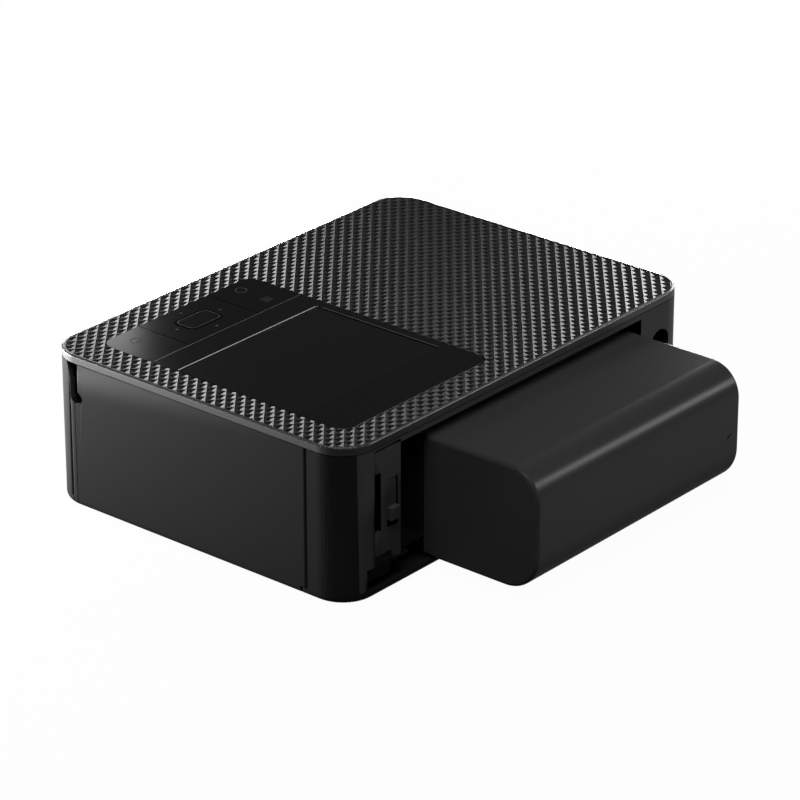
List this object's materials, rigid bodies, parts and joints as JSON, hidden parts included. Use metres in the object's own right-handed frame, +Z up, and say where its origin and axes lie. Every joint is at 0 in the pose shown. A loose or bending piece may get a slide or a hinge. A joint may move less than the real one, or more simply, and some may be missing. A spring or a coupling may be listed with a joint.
{
  "type": "compact photo printer",
  "caption": "Low rectangular photo printer with a diamond-relief top, display and key panel, side ink door, front paper flap and a battery pack slid onto its rear.",
  "frame": {"origin": "centre of the footprint of printer and battery pack together, on the surface it stands on", "axes": "+X to the printer's right, where the ink door is; +Y to its rear, where the battery pack is; +Z up"},
  "size_m": [0.1822, 0.177, 0.0576],
  "materials": {
    "case": "fine satin moulding",
    "cover": "satin gloss with a raised diamond relief",
    "panel": "satin key caps",
    "pane": "polished black window",
    "display": "dark display",
    "pack": "satin moulding",
    "rubber": "matte",
    "steel": "plated",
    "zinc": "as extruded",
    "nylon": "natural",
    "board": "solder mask",
    "cell": "shrink sleeve",
    "cassette": "moulded",
    "ribbon": "thin film"
  },
  "bodies": {
    "case": {"body_shell": "case", "base_frame": "case", "bottom_plate": "case", "feet": "rubber", "top_cover": "cover", "control_panel": "panel", "lcd_window": "pane", "lcd_module": "display", "key_board": "board", "bay_housing": "case", "rear_plate": "case", "bay_contacts": "steel", "dc_jack": "case", "io_board": "board", "card_socket": "steel", "usb_socket": "steel", "left_plate": "steel", "right_plate": "steel", "top_beam": "steel", "motor_bracket": "zinc", "paper_chute": "case", "paper_guide": "case", "cassette_guide": "case", "lift_motor": "zinc", "feed_motor": "zinc", "fan_frame": "case", "main_board": "board"},
    "ink_door": {"ink_door": "case"},
    "front_flap": {"front_flap": "case"},
    "power_key": {"power_key": "panel"},
    "nav_pad": {"nav_pad": "panel"},
    "ok_key": {"ok_key": "panel"},
    "print_key": {"print_key": "panel"},
    "menu_key": {"menu_key": "panel"},
    "release": {"release_slider": "panel", "latch_bar": "nylon"},
    "battery_pack": {"battery_base": "case", "battery_shell": "pack", "battery_cells": "cell", "battery_board": "board"},
    "head": {"head_bar": "nylon", "heat_sink": "zinc", "head_carriage": "steel"},
    "lead_screw": {"lead_screw": "steel"},
    "lift_pinion": {"lift_pinion": "nylon"},
    "feed_pinion": {"feed_pinion": "nylon"},
    "idler_gear": {"idler_gear": "nylon"},
    "transfer_gear": {"transfer_gear": "nylon"},
    "takeup_drive": {"takeup_drive": "nylon"},
    "grip_roller": {"grip_roller": "steel"},
    "pinch_roller": {"pinch_roller": "rubber"},
    "platen_roller": {"platen_roller": "rubber"},
    "pickup_roller": {"pickup_roller": "rubber"},
    "ink_cassette": {"cassette_case": "cassette", "ribbon_web": "ribbon"},
    "supply_spool": {"supply_spool": "nylon", "supply_roll": "ribbon"},
    "takeup_spool": {"takeup_spool": "nylon", "takeup_roll": "ribbon"},
    "fan_rotor": {"fan_rotor": "case"}
  },
  "joints": [
    {"name": "ink_door_hinge", "type": "hinge", "parent": "case", "child": "ink_door", "pos_m": [0.0898, 0.02595, 0.028], "axis": [0, 0, 1], "range_deg": [0, 90]},
    {"name": "front_flap_hinge", "type": "hinge", "parent": "case", "child": "front_flap", "pos_m": [0.0145, -0.0872, 0.007], "axis": [1, 0, 0], "range_deg": [0, 90]},
    {"name": "power_key_press", "type": "slide", "parent": "case", "child": "power_key", "axis": [0, 0, -1], "range_m": [0, 0.0004], "stiffness_N_per_m": 800, "springref_m": -0.0006},
    {"name": "nav_pad_press", "type": "slide", "parent": "case", "child": "nav_pad", "axis": [0, 0, -1], "range_m": [0, 0.0004], "stiffness_N_per_m": 800, "springref_m": -0.0006},
    {"name": "ok_key_press", "type": "slide", "parent": "case", "child": "ok_key", "axis": [0, 0, -1], "range_m": [0, 0.0004], "stiffness_N_per_m": 800, "springref_m": -0.0006},
    {"name": "print_key_press", "type": "slide", "parent": "case", "child": "print_key", "axis": [0, 0, -1], "range_m": [0, 0.0004], "stiffness_N_per_m": 800, "springref_m": -0.0006},
    {"name": "menu_key_press", "type": "slide", "parent": "case", "child": "menu_key", "axis": [0, 0, -1], "range_m": [0, 0.0004], "stiffness_N_per_m": 800, "springref_m": -0.0006},
    {"name": "release_slide", "type": "slide", "parent": "case", "child": "release", "axis": [0, 0, -1], "range_m": [0, 0.002], "stiffness_N_per_m": 400, "springref_m": -0.002},
    {"name": "battery_slide", "type": "slide", "parent": "case", "child": "battery_pack", "axis": [1, 0, 0], "range_m": [0, 0.011]},
    {"name": "grip_spin", "type": "hinge", "parent": "case", "child": "grip_roller", "pos_m": [0.014, -0.045, 0.01], "axis": [1, 0, 0], "continuous": true},
    {"name": "feed_spin", "type": "hinge", "parent": "case", "child": "feed_pinion", "pos_m": [-0.0525, -0.04752, 0.03064], "axis": [1, 0, 0], "continuous": true},
    {"name": "idler_spin", "type": "hinge", "parent": "case", "child": "idler_gear", "pos_m": [-0.0525, -0.036, 0.022], "axis": [1, 0, 0], "continuous": true},
    {"name": "transfer_spin", "type": "hinge", "parent": "case", "child": "transfer_gear", "pos_m": [-0.0525, -0.01171, 0.02258], "axis": [1, 0, 0], "continuous": true},
    {"name": "takeup_drive_spin", "type": "hinge", "parent": "case", "child": "takeup_drive", "pos_m": [-0.0525, 0.01, 0.0285], "axis": [1, 0, 0], "continuous": true},
    {"name": "pinch_spin", "type": "hinge", "parent": "case", "child": "pinch_roller", "pos_m": [0.014, -0.045, 0.0186], "axis": [1, 0, 0], "continuous": true},
    {"name": "platen_spin", "type": "hinge", "parent": "case", "child": "platen_roller", "pos_m": [0.014, -0.0085, 0.0099], "axis": [1, 0, 0], "continuous": true},
    {"name": "pickup_spin", "type": "hinge", "parent": "case", "child": "pickup_roller", "pos_m": [0.014, -0.06281, 0.03375], "axis": [1, 0, 0], "continuous": true},
    {"name": "screw_turn", "type": "hinge", "parent": "case", "child": "lead_screw", "pos_m": [-0.0471, -0.0085, 0.035], "axis": [0, 0, 1], "range_deg": [0, 330]},
    {"name": "lift_pinion_turn", "type": "hinge", "parent": "case", "child": "lift_pinion", "pos_m": [-0.063, -0.0085, 0.045], "axis": [0, 0, 1], "range_deg": [-763.2, 0]},
    {"name": "head_lift", "type": "slide", "parent": "case", "child": "head", "axis": [0, 0, -1], "range_m": [0, 0.011]},
    {"name": "cassette_eject", "type": "slide", "parent": "case", "child": "ink_cassette", "axis": [1, 0, 0], "range_m": [0, 0.004]},
    {"name": "supply_spin", "type": "hinge", "parent": "ink_cassette", "child": "supply_spool", "pos_m": [0.02, -0.027, 0.0285], "axis": [1, 0, 0], "continuous": true},
    {"name": "takeup_spin", "type": "hinge", "parent": "ink_cassette", "child": "takeup_spool", "pos_m": [0.02, 0.01, 0.0285], "axis": [1, 0, 0], "continuous": true},
    {"name": "fan_spin", "type": "hinge", "parent": "case", "child": "fan_rotor", "pos_m": [-0.085, 0.001, 0.023], "axis": [1, 0, 0], "continuous": true}
  ],
  "couplings": [
    {"joint": "feed_spin", "follows": "grip_spin", "ratio": 1.1667},
    {"joint": "idler_spin", "follows": "grip_spin", "ratio": -0.38889},
    {"joint": "transfer_spin", "follows": "grip_spin", "ratio": 0.31111},
    {"joint": "takeup_drive_spin", "follows": "grip_spin", "ratio": -0.46667},
    {"joint": "pinch_spin", "follows": "grip_spin", "ratio": -1.1842},
    {"joint": "platen_spin", "follows": "grip_spin", "ratio": 0.95745},
    {"joint": "pickup_spin", "follows": "grip_spin", "ratio": -0.35},
    {"joint": "takeup_spin", "follows": "grip_spin", "ratio": -0.46667},
    {"joint": "supply_spin", "follows": "grip_spin", "ratio": -0.27018},
    {"joint": "lift_pinion_turn", "follows": "screw_turn", "ratio": -2.3125},
    {"joint": "head_lift", "follows": "screw_turn", "m_per_rad": 0.0019099}
  ]
}
